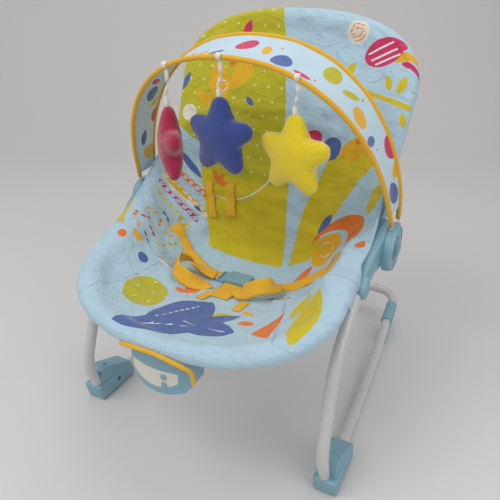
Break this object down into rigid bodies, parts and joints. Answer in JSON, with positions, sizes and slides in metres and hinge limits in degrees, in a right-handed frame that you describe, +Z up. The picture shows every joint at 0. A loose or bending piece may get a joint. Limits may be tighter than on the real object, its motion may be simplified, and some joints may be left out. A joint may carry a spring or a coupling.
{
  "type": "bouncer seat",
  "caption": "Baby bouncer seat: rocking tube base, padded seat on a tube loop, reclining back, folding canopy with hanging plush stars, harness and battery vibration unit.",
  "frame": {"origin": "on the floor, below the middle of the hub axis on which the back and the canopy turn", "axes": "+Z up, the sitter faces -Y, the sitter's right hand is at -X and +X is across the seat"},
  "size_m": [0.497, 0.6491, 0.6588],
  "materials": {
    "tube": "gloss",
    "blue_plastic": "satin",
    "rubber": "matte",
    "steel": "satin",
    "spring_steel": "satin",
    "rod": "satin",
    "piping": "matte",
    "blue_cloth": "matte",
    "lime_cloth": "matte",
    "satin": "sheen",
    "plush_magenta": "plush",
    "plush_navy": "plush",
    "plush_yellow": "plush",
    "webbing": "woven",
    "cream_plastic": "satin",
    "board": "matte",
    "brass": "satin"
  },
  "bodies": {
    "frame": {"base_tube": "tube", "leg_left": "tube", "leg_right": "tube", "seat_tube": "tube", "foot_left": "blue_plastic", "foot_right": "blue_plastic", "foot_pads": "rubber", "foot_bolts": "steel", "housing_outer_left": "blue_plastic", "housing_outer_right": "blue_plastic", "housing_inner_left": "blue_plastic", "housing_inner_right": "blue_plastic", "housing_screws": "steel", "hub_caps": "blue_plastic", "hub_rings": "steel", "recline_spring_left": "spring_steel", "recline_spring_right": "spring_steel", "seat_cover": "blue_cloth", "wing_left": "blue_cloth", "wing_right": "blue_cloth", "waist_strap_left": "webbing", "waist_strap_right": "webbing", "crotch_strap": "webbing", "buckle_body": "blue_plastic", "buckle_prongs": "blue_plastic", "unit_front_shell": "blue_plastic", "unit_rear_shell": "blue_plastic", "unit_face_plate": "cream_plastic", "unit_circuit_board": "board", "unit_battery": "brass", "unit_contacts": "steel", "unit_battery_door": "blue_plastic", "unit_motor": "steel", "unit_screws": "steel"},
    "back": {"back_tube": "tube", "recline_arm_left": "blue_plastic", "recline_arm_right": "blue_plastic", "arm_bolts": "steel", "back_cover": "lime_cloth"},
    "canopy": {"canopy_hub_left": "blue_plastic", "canopy_hub_right": "blue_plastic", "canopy_rod_front": "rod", "canopy_rod_rear": "rod", "canopy_piping_front": "piping", "canopy_piping_rear": "piping", "canopy_cloth": "blue_cloth"},
    "stopper_left": {"stopper_left": "blue_plastic"},
    "stopper_right": {"stopper_right": "blue_plastic"},
    "recline_button_left": {"recline_button_left": "blue_plastic"},
    "recline_button_right": {"recline_button_right": "blue_plastic"},
    "power_button": {"unit_power_button": "blue_plastic"},
    "mode_button": {"unit_mode_button": "blue_plastic"},
    "motor_weight": {"unit_motor_weight": "brass"},
    "toy_left": {"toy_ribbon_left": "satin", "toy_star_left": "plush_magenta"},
    "toy_middle": {"toy_ribbon_middle": "satin", "toy_star_middle": "plush_navy"},
    "toy_right": {"toy_ribbon_right": "satin", "toy_star_right": "plush_yellow"}
  },
  "joints": [
    {"name": "recline", "type": "hinge", "parent": "frame", "child": "back", "pos_m": [0, 0, 0.334], "axis": [-1, 0, 0], "range_deg": [0, 22]},
    {"name": "canopy_turn", "type": "hinge", "parent": "frame", "child": "canopy", "pos_m": [0, 0, 0.334], "axis": [1, 0, 0], "range_deg": [-20, 40]},
    {"name": "recline_press_left", "type": "slide", "parent": "frame", "child": "recline_button_left", "axis": [1, 0, 0], "range_m": [0, 0.005], "stiffness_N_per_m": 800, "springref_m": -0.002, "deforming": ["recline_spring_left"]},
    {"name": "recline_press_right", "type": "slide", "parent": "frame", "child": "recline_button_right", "axis": [-1, 0, 0], "range_m": [0, 0.005], "stiffness_N_per_m": 800, "springref_m": -0.002, "deforming": ["recline_spring_right"]},
    {"name": "power_press", "type": "slide", "parent": "frame", "child": "power_button", "axis": [0, 1, 0], "range_m": [0, 0.0015], "stiffness_N_per_m": 600, "springref_m": -0.0005},
    {"name": "mode_press", "type": "slide", "parent": "frame", "child": "mode_button", "axis": [0, 1, 0], "range_m": [0, 0.0015], "stiffness_N_per_m": 600, "springref_m": -0.0005},
    {"name": "motor_spin", "type": "hinge", "parent": "frame", "child": "motor_weight", "pos_m": [0.02, -0.27972, 0.2365], "axis": [1, 0, 0], "continuous": true},
    {"name": "stopper_turn_left", "type": "hinge", "parent": "frame", "child": "stopper_left", "pos_m": [-0.20777, 0.22686, 0.04294], "axis": [0.0456, 0.9714, 0.233], "range_deg": [-170, 0]},
    {"name": "stopper_turn_right", "type": "hinge", "parent": "frame", "child": "stopper_right", "pos_m": [0.20777, 0.22686, 0.04294], "axis": [-0.0456, 0.9714, 0.233], "range_deg": [0, 170]},
    {"name": "toy_swing_left", "type": "hinge", "parent": "canopy", "child": "toy_left", "pos_m": [-0.103, -0.09995, 0.59167], "axis": [0.8952, -0.1612, 0.4156], "range_deg": [-25, 25]},
    {"name": "toy_swing_middle", "type": "hinge", "parent": "canopy", "child": "toy_middle", "pos_m": [-0.008, -0.10774, 0.61177], "axis": [0.9998, -0.0066, 0.0169], "range_deg": [-25, 25]},
    {"name": "toy_swing_right", "type": "hinge", "parent": "canopy", "child": "toy_right", "pos_m": [0.104, -0.09976, 0.59121], "axis": [0.8926, 0.1631, -0.4204], "range_deg": [-25, 25]}
  ]
}
